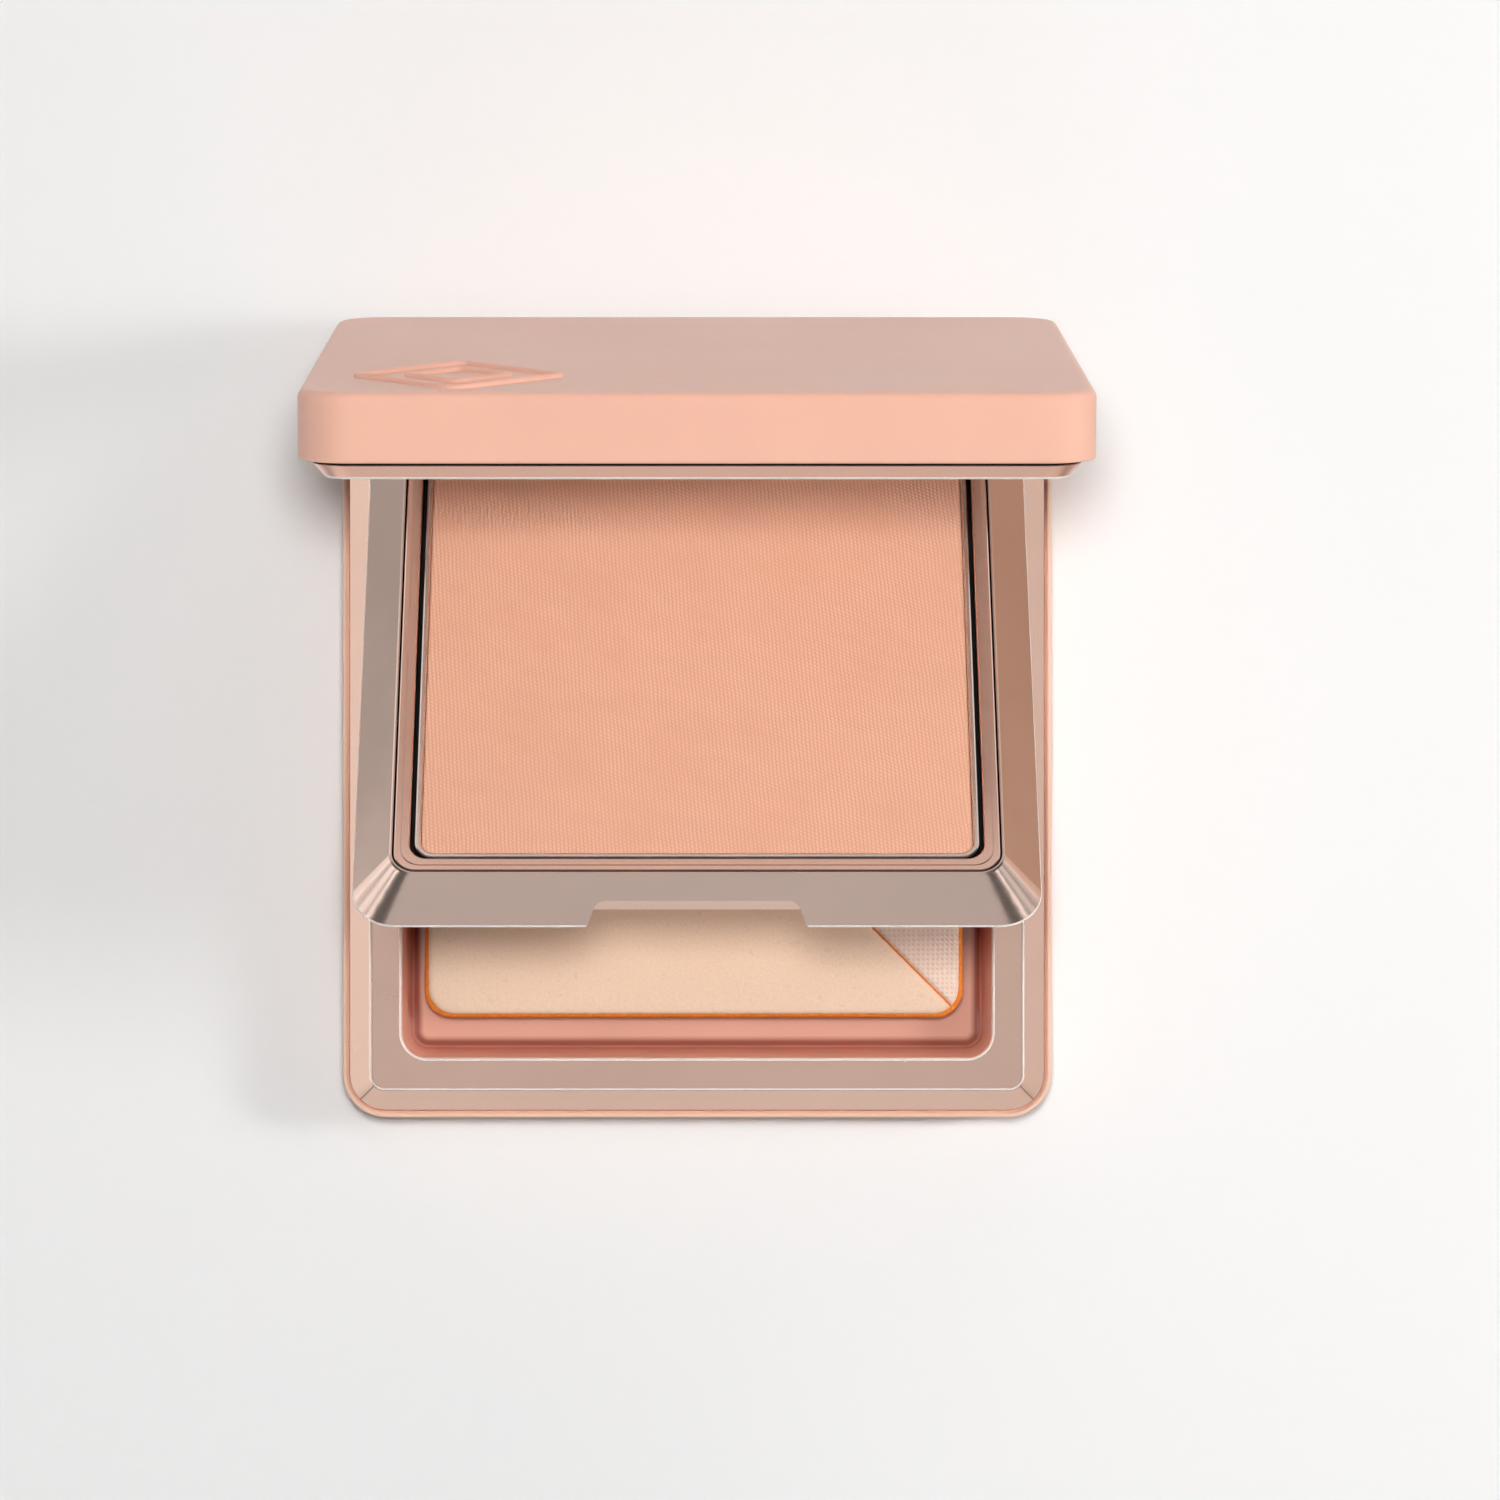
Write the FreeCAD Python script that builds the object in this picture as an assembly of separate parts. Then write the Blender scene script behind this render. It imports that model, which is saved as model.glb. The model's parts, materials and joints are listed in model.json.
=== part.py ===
import FreeCAD, Part
import math
import os

os.makedirs("parts", exist_ok=True)

# ---------------------------------------------------------------------------
# Two-tier square powder compact, millimetres.
# Origin: centre of the base's flat underside. +X right, +Y back to the hinge,
# +Z up. Tray and lid are drawn shut, then swung open about the hinge line.
# ---------------------------------------------------------------------------
V = FreeCAD.Vector

W = 75.0                 # width and depth of the shut compact
H = W / 2.0
CORNER_R = 4.6           # outer corner radius in plan
RIM_Z = 11.0             # flat metal rim of the base
BASE_WALL_TOP = 9.0      # top of the matte base wall
LID_Z0 = 11.4            # underside of the shut lid
LID_WALL_Z0 = 13.2       # bottom of the matte lid wall
LID_TOP = 19.95          # outer face of the shut lid
LID_HALF = 37.95         # the lid's matte wall stands proud of the base
WALL = 1.3               # moulded wall thickness

AXIS_Y = 35.5            # hinge line
AXIS_Z = 8.4
TRAY_OPEN = 40.0         # stored opening angles, degrees
LID_OPEN = 80.7
PIN_R = 0.75
KN_R = 1.9               # hinge knuckle radius
BASE_BORE_R = 0.76
RUN_BORE_R = 0.80
LID_KN_X = 11.8          # lid knuckle reaches from -X to +X
TRAY_KN_X = (12.1, 18.9)
BASE_KN_X = (19.2, 24.0)
POCKET_X = 24.3          # hinge pocket half width
POCKET_Z = 5.2
POCKET_Y = 33.0
POCKET_Y_TRAY = 32.6

RIM_HALF = 34.42         # outer edge of the flat rim
WELL_HALF = 31.15        # rim's inner edge
WELL_R = 2.7
WELL_FLOOR_Z = 4.6
WELL_DRAFT = 10.0

TRAY_Z0 = 11.1
TRAY_Z1 = 14.85
TRAY_HALF = 34.12        # bottom of the tray's chamfer
TRAY_R = 4.3            # chamfer's corner radius, bottom
TRAY_R_TOP = 2.5        # and top
TRAY_CHAMFER = 3.70
TRAY_POCKET_HALF = 30.15
FRAME_HALF = 29.98       # refill frame
FRAME_IN_HALF = 28.38
PAN_HALF = 27.95
POWDER_HALF = 27.30
NOTCH_W0 = 21.9          # finger notch, bottom width
NOTCH_W1 = 19.7          # and top width
NOTCH_H = 1.88
NOTCH_D = 1.90
NOTCH_R = 1.25

LID_IN_HALF = 34.43      # recess in the lid that the tray closes into
MIRROR_Z = 16.1          # mirror face when shut
MIRROR_T = 1.5

LABEL_R = 11.0           # blank paper label under the base
LABEL_Y = 20.0

SPONGE_W = 57.0
SPONGE_D = 54.0
SPONGE_X = -0.35
SPONGE_R = 3.0
SPONGE_Z0 = 4.65
SPONGE_FACE_Z = 9.55
SPONGE_Z1 = 10.05


# --- helpers ---------------------------------------------------------------
def rrect(hx, hy, r, z, cx=0.0, cy=0.0):
    """Wire of a rounded rectangle with half sides hx, hy."""
    r = max(min(r, hx - 0.01, hy - 0.01), 0.05)
    k = r * math.sqrt(0.5)
    def p(x, y):
        return V(cx + x, cy + y, z)
    edges = []
    corners = [(1, -1, hx, hy), (1, 1, hx, hy), (-1, 1, hx, hy), (-1, -1, hx, hy)]
    pts = []
    # counter-clockwise from the middle of the front side's left end
    pts.append((p(-hx + r, -hy), p(hx - r, -hy)))
    pts.append((p(hx, -hy + r), p(hx, hy - r)))
    pts.append((p(hx - r, hy), p(-hx + r, hy)))
    pts.append((p(-hx, hy - r), p(-hx, -hy + r)))
    mids = [p(hx - r + k, -hy + r - k), p(hx - r + k, hy - r + k),
            p(-hx + r - k, hy - r + k), p(-hx + r - k, -hy + r - k)]
    for i in range(4):
        a, b = pts[i]
        edges.append(Part.LineSegment(a, b).toShape())
        c = pts[(i + 1) % 4][0]
        edges.append(Part.Arc(b, mids[i], c).toShape())
    return Part.Wire(edges)


def stack(secs, half, r, cx=0.0, cy=0.0, half_y=None):
    """Solid through rounded squares; secs is [(z, inset), ...] going up.
    The inset is parallel: the corner radius shrinks with it."""
    hy = half if half_y is None else half_y
    wires = [rrect(half - i, hy - i, max(r - i, 0.25), z, cx, cy) for z, i in secs]
    return Part.makeLoft(wires, True, True)


def box(x0, x1, y0, y1, z0, z1):
    return Part.makeBox(x1 - x0, y1 - y0, z1 - z0, V(x0, y0, z0))


def arc_secs(zc, ic, r, t0, t1, n):
    """Points of a rounded edge: z = zc + r sin t, inset = ic - r cos t."""
    out = []
    for k in range(n + 1):
        t = math.radians(t0 + (t1 - t0) * k / n)
        out.append((zc + r * math.sin(t), ic - r * math.cos(t)))
    return out


def xcyl(x0, x1, r):
    """Cylinder on the hinge line."""
    return Part.makeCylinder(r, x1 - x0, V(x0, AXIS_Y, AXIS_Z), V(1, 0, 0))


def one(shape):
    s = shape.removeSplitter()
    return s


def opened(shape, angle):
    s = shape.copy()
    s.rotate(V(0, AXIS_Y, AXIS_Z), V(1, 0, 0), -angle)
    return s


def write(name, shape, angle=0.0):
    if angle:
        shape = opened(shape, angle)
    ok = shape.isValid()
    print("%-20s valid=%s solids=%d volume=%.1f mm3" % (name, ok, len(shape.Solids), shape.Volume))
    shape.exportStep("parts/%s.step" % name)


# --- hinge pocket in the back of the base -----------------------------------
pocket = box(-POCKET_X, POCKET_X, POCKET_Y, H + 2, POCKET_Z, RIM_Z + 2)
for s in (-1, 1):
    a, b = TRAY_KN_X[0] - 0.3, TRAY_KN_X[1] + 0.3
    x0, x1 = (a, b) if s > 0 else (-b, -a)
    pocket = pocket.fuse(box(x0, x1, POCKET_Y_TRAY, H + 2, POCKET_Z, RIM_Z + 2))
pocket_one = pocket

# --- base shell: matte moulded cup with the outer hinge knuckles ------------
lip = 0.42
outer = stack(arc_secs(1.1, 1.1, 1.1, -90, 0, 6)
              + arc_secs(BASE_WALL_TOP - 0.3, 0.3, 0.3, 0, 90, 4), H, CORNER_R)
groove = stack([(BASE_WALL_TOP - 0.5, lip), (BASE_WALL_TOP + 1, lip)], H, CORNER_R)
cavity = stack([(1.4, WALL), (BASE_WALL_TOP + 1, WALL)], H, CORNER_R)
shell = outer.cut(groove).cut(cavity)
# block that closes the hinge pocket off from the inside
block = box(-POCKET_X - 1.0, POCKET_X + 1.0, 31.98, H - WALL + 0.2, 1.3, BASE_WALL_TOP - 0.5)
hollow = box(-POCKET_X - 0.0, POCKET_X + 0.0, 33.0, H - WALL, 1.2, POCKET_Z - 1.2)
shell = shell.fuse(block.cut(hollow)).cut(pocket)
for s in (-1, 1):
    x0, x1 = BASE_KN_X if s > 0 else (-BASE_KN_X[1], -BASE_KN_X[0])
    shell = shell.fuse(xcyl(x0, x1, KN_R)).fuse(
        box(x0, x1, AXIS_Y - 1.3, AXIS_Y + 1.5, POCKET_Z - 0.2, AXIS_Z))
    # cheek that ties the knuckle to the pocket's end wall
    e0, e1 = (BASE_KN_X[1] - 0.2, POCKET_X + 0.2) if s > 0 else (-POCKET_X - 0.2, -BASE_KN_X[1] + 0.2)
    shell = shell.fuse(box(e0, e1, AXIS_Y - 1.3, AXIS_Y + 1.2, POCKET_Z - 0.2, BASE_WALL_TOP - 0.6))
shell = shell.cut(xcyl(-30, 30, BASE_BORE_R).common(box(-24.2, 24.2, 0, 50, 0, 20)))
# shallow round recess for the label, behind the middle of the underside
shell = shell.cut(Part.makeCylinder(LABEL_R + 0.2, 0.3, V(0, LABEL_Y, 0)))
write("base_shell", one(shell))

label = Part.makeCylinder(LABEL_R, 0.15, V(0, LABEL_Y, 0.15))
write("bottom_label", label)

# --- base bezel: metallised ring, bevelled outside, flat rim ----------------
e = 0.22
b0, b1 = 0.75, H - RIM_HALF
slope = math.atan2(RIM_Z - BASE_WALL_TOP, b1 - b0)
bz = [(BASE_WALL_TOP - 0.5, b0), (BASE_WALL_TOP - 0.06, b0), (BASE_WALL_TOP + 0.06, b0 + 0.06),
      (RIM_Z - 0.16, b1 - 0.19), (RIM_Z - 0.07, b1 - 0.05), (RIM_Z - 0.02, b1 + 0.06), (RIM_Z, b1 + 0.18)]
bezel = stack(bz, H, CORNER_R)
skirt = stack([(6.4, 1.45), (BASE_WALL_TOP - 0.3, 1.45)], H, CORNER_R)
under = stack([(6.0, 2.5), (10.0, 2.5)], H, CORNER_R)
opening = stack([(5.9, 0.0), (RIM_Z - 0.2, 0.0), (RIM_Z - 0.09, -0.03), (RIM_Z - 0.03, -0.09), (RIM_Z, -0.2),
                 (RIM_Z + 0.5, -0.2)], WELL_HALF, WELL_R)
bezel = bezel.fuse(skirt.cut(stack([(6.0, 2.1), (9.5, 2.1)], H, CORNER_R))).cut(under).cut(opening)
bezel = bezel.cut(pocket)
# the shell's pocket block takes the skirt's place behind
bezel = bezel.cut(box(-POCKET_X - 1.1, POCKET_X + 1.1, 31.9, H, 5.0, BASE_WALL_TOP - 0.5))
write("base_bezel", one(bezel))

# --- sponge well: glossy drafted tray under the rim --------------------------
t = math.tan(math.radians(WELL_DRAFT))
def well_in(z):
    return (10.0 - z) * t + 0.05
wi = [(WELL_FLOOR_Z, well_in(WELL_FLOOR_Z) + 0.62), (WELL_FLOOR_Z + 0.06, well_in(WELL_FLOOR_Z) + 0.36),
      (WELL_FLOOR_Z + 0.2, well_in(WELL_FLOOR_Z) + 0.16), (WELL_FLOOR_Z + 0.55, well_in(WELL_FLOOR_Z + 0.55)),
      (10.0, 0.05), (12.0, 0.05)]
well_cut = stack(wi, WELL_HALF, WELL_R)
wo = [(WELL_FLOOR_Z - 0.8, well_in(WELL_FLOOR_Z) - 0.3), (WELL_FLOOR_Z, well_in(WELL_FLOOR_Z) - 0.75),
      (10.0, -0.72)]
well = stack(wo, WELL_HALF, WELL_R + 0.3)
flange = stack([(9.2, 0.0), (10.0, 0.0)], 33.0, 3.6)
well = well.fuse(flange).cut(well_cut).cut(pocket)
well = well.cut(box(-POCKET_X - 1.1, POCKET_X + 1.1, 31.9, H, 2.0, BASE_WALL_TOP - 0.45))
write("sponge_well", one(well))

# --- magnets in the front of the base ----------------------------------------
mags = []
for s in (-1, 1):
    mags.append(box(s * 22 - 6, s * 22 + 6, -34.85, -33.1, 7.8, 9.95))
write("base_magnets", Part.makeCompound(mags))

# --- hinge pin ----------------------------------------------------------------
pin = xcyl(-24.0, 24.0, PIN_R)
pin = pin.makeChamfer(0.15, [ed for ed in pin.Edges if ed.Curve.__class__.__name__ == "Circle"])
write("hinge_pin", pin)

# --- sponge: foam core with two cover cloths, joined on a diagonal -------------
core = stack([(SPONGE_Z0, 0.3), (SPONGE_Z0 + 0.3, 0.0), (SPONGE_FACE_Z, 0.0)], SPONGE_W / 2, SPONGE_R,
             SPONGE_X, 0, SPONGE_D / 2)
write("sponge_core", core)
face = stack([(SPONGE_FACE_Z, 0.0), (SPONGE_Z1 - 0.2, 0.05), (SPONGE_Z1, 0.3)], SPONGE_W / 2, SPONGE_R,
             SPONGE_X, 0, SPONGE_D / 2)
def half_plane(sign):
    """Prism on one side of the diagonal from front right to back left."""
    g = 0.12 * sign
    xa, ya = SPONGE_X + SPONGE_W / 2 + 5, -SPONGE_D / 2 - 5
    n = math.sqrt(0.5)
    p0 = V(xa + g * n, ya + g * n, 0)
    p1 = V(xa - 80 + g * n, ya + 80 + g * n, 0)
    off = V(n * 60 * sign, n * 60 * sign, 0)
    w = Part.makePolygon([p0, p1, p1 + off, p0 + off, p0])
    return Part.Face(w).extrude(V(0, 0, 30))
write("sponge_smooth_face", face.common(half_plane(-1)))
write("sponge_mesh_face", face.common(half_plane(1)))


# --- powder tray: chamfered frame with knuckles --------------------------------
tf = [(TRAY_Z0, 0.0), (TRAY_Z0 + 0.12, 0.0), (TRAY_Z0 + 0.25, 0.08),
      (TRAY_Z1 - 0.22, TRAY_CHAMFER - 0.14), (TRAY_Z1 - 0.08, TRAY_CHAMFER), (TRAY_Z1, TRAY_CHAMFER + 0.14)]
tray = Part.makeLoft([rrect(TRAY_HALF - i, TRAY_HALF - i,
                            TRAY_R + (TRAY_R_TOP - TRAY_R) * min(i / TRAY_CHAMFER, 1.0), z) for z, i in tf], True, True)
well_t = stack([(11.8, 0.0), (TRAY_Z1 + 1, 0.0)], TRAY_POCKET_HALF, 2.4)
floor_rec = stack([(TRAY_Z0 - 1, 0.0), (11.8, 0.0)], 29.5, 2.0)
tray = tray.cut(well_t).cut(floor_rec)
# finger notch in the middle of the front chamfer
n0, n1 = TRAY_Z0 - 1.0, TRAY_Z0 + NOTCH_H
lean = (NOTCH_W0 - NOTCH_W1) / 2 / NOTCH_H
bottom = NOTCH_W0 / 2 + lean
y0 = -TRAY_HALF - 3
notch = Part.Face(Part.makePolygon([V(-bottom, y0, n0), V(bottom, y0, n0), V(NOTCH_W1 / 2, y0, n1),
                                    V(-NOTCH_W1 / 2, y0, n1), V(-bottom, y0, n0)])).extrude(V(0, 3 + NOTCH_D + 0.35, 0))
notch = notch.makeFillet(NOTCH_R, [ed for ed in notch.Edges if ed.BoundBox.YLength > 3 and ed.BoundBox.ZMin > n1 - 0.01])
tray = tray.cut(notch)
for s in (-1, 1):
    x0, x1 = TRAY_KN_X if s > 0 else (-TRAY_KN_X[1], -TRAY_KN_X[0])
    arm = box(x0, x1, AXIS_Y - 2.6, AXIS_Y + 0.6, AXIS_Z, TRAY_Z0 + 0.3)
    arm = arm.cut(box(x0 - 1, x1 + 1, TRAY_HALF, AXIS_Y + 2, TRAY_Z0, TRAY_Z0 + 2))
    tray = tray.fuse(arm).fuse(xcyl(x0, x1, KN_R))
tray = tray.cut(xcyl(-30, 30, RUN_BORE_R))
write("tray_frame", one(tray), TRAY_OPEN)

tfloor = stack([(TRAY_Z0 + 0.05, 0.1), (TRAY_Z0 + 0.15, 0.0), (11.75, 0.0)], 29.45, 1.95)
write("tray_floor", tfloor, TRAY_OPEN)

# refill frame: cup that lifts out with the pan
rf = stack([(11.85, 0.0), (TRAY_Z1 - 0.15, 0.0), (TRAY_Z1 - 0.04, 0.04), (TRAY_Z1, 0.15)], FRAME_HALF, 2.25)
rf_in = stack([(12.3, 0.0), (TRAY_Z1 - 0.15, 0.0), (TRAY_Z1 - 0.04, -0.04), (TRAY_Z1, -0.15), (TRAY_Z1 + 1, -0.15)],
              FRAME_IN_HALF, 1.75)
rf = rf.cut(rf_in)
# a fine step line round the middle of the frame's top
line = stack([(TRAY_Z1 - 0.12, 0.0), (TRAY_Z1 + 1, 0.0)], 29.35, 2.05).cut(
    stack([(TRAY_Z1 - 0.2, 0.0), (TRAY_Z1 + 2, 0.0)], 29.21, 1.95))
rf = rf.cut(line)
disc = []
for sx in (-1, 1):
    for sy in (-1, 1):
        c = V(sx * 17, sy * 17, 11.75)
        rf = rf.cut(Part.makeCylinder(4.1, 2.0, c))
        disc.append(Part.makeCylinder(4.0, 0.42, V(sx * 17, sy * 17, 11.87)))
write("refill_frame", one(rf), TRAY_OPEN)
write("pan_magnets", Part.makeCompound(disc), TRAY_OPEN)

# pan: thin pressed metal dish
po = stack([(12.33, 0.35), (12.45, 0.1), (12.65, 0.0), (14.26, 0.0), (14.36, 0.04), (14.4, 0.16)], PAN_HALF, 1.95)
pi = stack([(12.6, 0.0), (14.26, 0.0), (14.36, -0.06), (14.4, -0.18), (15.5, -0.18)], POWDER_HALF + 0.04, 1.45)
write("powder_pan", po.cut(pi), TRAY_OPEN)
powder = stack([(12.62, 0.05), (14.05, 0.0), (14.16, 0.05), (14.2, 0.18)], POWDER_HALF, 1.4)
write("pressed_powder", powder, TRAY_OPEN)


# --- lid: matte shell, inner frame, bezel, mirror --------------------------------
lo = stack(arc_secs(LID_WALL_Z0 + 0.25, 0.25, 0.25, -90, 0, 3)
           + arc_secs(LID_TOP - 0.9, 0.9, 0.9, 0, 90, 7), LID_HALF, CORNER_R + 0.2)
lid_cav = stack([(LID_WALL_Z0 - 1, WALL), (18.5, WALL)], H, CORNER_R)
lid_step = stack([(LID_WALL_Z0 - 1, lip), (LID_WALL_Z0 + 0.4, lip)], LID_HALF, CORNER_R + 0.2)
lid = lo.cut(lid_cav).cut(lid_step)
# raised ornament: two nested lozenge outlines near the free end, left side
OX, OY, OHX, OHY, OLW, OH = -23.0, -23.4, 10.6, 12.4, 0.85, 0.45
def lozenge(hx, hy, r):
    """Lozenge wire with rounded points."""
    c = [V(OX + hx, OY, 0), V(OX, OY + hy, 0), V(OX - hx, OY, 0), V(OX, OY - hy, 0)]
    ed, tang = [], []
    for i in range(4):
        p, prev, nxt = c[i], c[i - 1], c[(i + 1) % 4]
        u = (prev - p).normalize()
        v = (nxt - p).normalize()
        half = math.acos(max(-1, min(1, u.dot(v)))) / 2.0
        d = r / math.tan(half)
        m = (u + v).normalize()
        cen = p + m * (r / math.sin(half))
        tang.append((p + u * d, cen - m * r, p + v * d))
    for i in range(4):
        ed.append(Part.Arc(*tang[i]).toShape())
        ed.append(Part.LineSegment(tang[i][2], tang[(i + 1) % 4][0]).toShape())
    return Part.Wire(ed)
for k, shrink in enumerate((0.0, 0.48)):
    f = 1.0 - shrink
    hx, hy = OHX * f, OHY * f
    g = OLW / math.sin(math.atan2(hy, hx)), OLW / math.cos(math.atan2(hy, hx))
    ro, ri = 1.3 * f + 0.3, 0.6 * f + 0.1
    outer_f = Part.Face(lozenge(hx, hy, ro))
    inner_f = Part.Face(lozenge(hx - g[0], hy - g[1], ri))
    ring = outer_f.cut(inner_f)
    ring.translate(V(0, 0, LID_TOP - 0.3))
    ring = ring.extrude(V(0, 0, 0.3 + OH))
    ed = [x for x in ring.Edges if abs(x.BoundBox.ZMin - (LID_TOP + OH)) < 1e-6
          and abs(x.BoundBox.ZMax - (LID_TOP + OH)) < 1e-6]
    try:
        r2 = ring.makeFillet(0.34, ed)
        if r2.isValid() and len(r2.Solids) == 1:
            ring = r2
    except Exception as err:
        print("ornament edge left sharp:", err)
    lid = lid.fuse(ring)
write("lid_shell", one(lid), LID_OPEN)

# lid bezel
z0, z1 = LID_Z0, LID_WALL_Z0 + 0.35
lb = stack([(z0, 2.32), (z0 + 0.03, 2.2), (z0 + 0.1, 2.08), (z0 + 0.2, 1.98), (z0 + 1.40, 0.90), (z0 + 1.46, 0.95),
            (z0 + 1.48, 1.05), (z0 + 1.50, 1.20), (z1, 1.20)], H, CORNER_R)
lb_in = stack([(z0 - 1, -0.12), (z0, -0.12), (z0 + 0.12, 0.0), (z1 + 1, 0.0)], LID_IN_HALF, 2.0)
lb = lb.cut(lb_in)
lb = lb.cut(box(-LID_KN_X - 0.15, LID_KN_X + 0.15, AXIS_Y - 1.2, H + 1, z0 - 1, z1 + 1))
write("lid_bezel", one(lb), LID_OPEN)

# inner frame with the lid's knuckle
fr = stack([(z1 + 0.03, WALL + 0.06), (18.45, WALL + 0.06)], H, CORNER_R)
fr_in = stack([(z1 - 1, 0.0), (17.87, 0.0)], LID_IN_HALF, 2.0)
fr = fr.cut(fr_in)
arm = box(-LID_KN_X, LID_KN_X, AXIS_Y - 1.05, AXIS_Y + 1.0, AXIS_Z, LID_Z0 + 1.6)
arm = arm.fuse(box(-LID_KN_X, LID_KN_X, AXIS_Y - 1.05, AXIS_Y + 0.64, LID_Z0 + 1.0, z1 + 1.2))
fr = fr.fuse(arm).fuse(xcyl(-LID_KN_X, LID_KN_X, KN_R)).cut(xcyl(-30, 30, RUN_BORE_R))
lid_mags = []
for s in (-1, 1):
    fr = fr.cut(box(s * 22 - 6.05, s * 22 + 6.05, -35.8, -34.75, z1, z1 + 2.45))
    lid_mags.append(box(s * 22 - 6, s * 22 + 6, -35.75, -34.8, z1 + 0.05, z1 + 2.4))
write("lid_frame", one(fr), LID_OPEN)
write("lid_magnets", Part.makeCompound(lid_mags), LID_OPEN)

mir = stack([(MIRROR_Z, 0.25), (MIRROR_Z + 0.25, 0.0), (MIRROR_Z + MIRROR_T, 0.0)], LID_IN_HALF - 0.1, 1.9)
write("mirror", mir, LID_OPEN)
tape = stack([(MIRROR_Z + MIRROR_T, 0.0), (17.87, 0.0)], 32.0, 1.5)
write("mirror_tape", tape, LID_OPEN)
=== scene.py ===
import bpy, bmesh, json, math
import numpy as np
from mathutils import Matrix, Vector, noise


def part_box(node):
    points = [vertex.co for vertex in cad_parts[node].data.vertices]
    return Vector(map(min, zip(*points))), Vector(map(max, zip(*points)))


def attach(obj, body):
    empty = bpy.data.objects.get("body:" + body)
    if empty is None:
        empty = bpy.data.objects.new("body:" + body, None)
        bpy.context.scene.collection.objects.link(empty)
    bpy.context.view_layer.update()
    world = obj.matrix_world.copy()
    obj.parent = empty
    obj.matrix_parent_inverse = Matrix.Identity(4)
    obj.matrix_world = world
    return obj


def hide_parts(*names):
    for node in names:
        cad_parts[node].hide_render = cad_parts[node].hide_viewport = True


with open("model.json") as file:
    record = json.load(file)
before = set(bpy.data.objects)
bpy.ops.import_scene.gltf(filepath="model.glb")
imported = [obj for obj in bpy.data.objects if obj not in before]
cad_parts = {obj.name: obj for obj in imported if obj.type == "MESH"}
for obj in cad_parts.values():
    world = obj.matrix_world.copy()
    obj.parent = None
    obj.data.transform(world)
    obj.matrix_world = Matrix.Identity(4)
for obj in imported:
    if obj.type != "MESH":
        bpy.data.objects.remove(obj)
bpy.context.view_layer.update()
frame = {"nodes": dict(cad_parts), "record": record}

MM = 0.001
scene = bpy.context.scene

# hinge line and stored angles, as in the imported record
J = frame["record"]["behaviour"]["joints"][0]
AXY, AXZ = J["pos_m"][1], J["pos_m"][2]
TRAY_DEG, LID_DEG = 40.0, 80.7


def opened(deg):
    """Matrix that swings something drawn shut open about the hinge line."""
    t = Matrix.Translation((0, AXY, AXZ))
    return t @ Matrix.Rotation(math.radians(-deg), 4, "X") @ t.inverted()


# ------------------------------------------------------------------ materials
def lin(r, g, b):
    def f(c):
        c = c / 255.0
        return c / 12.92 if c <= 0.04045 else ((c + 0.055) / 1.055) ** 2.4
    return (f(r), f(g), f(b), 1.0)


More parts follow.
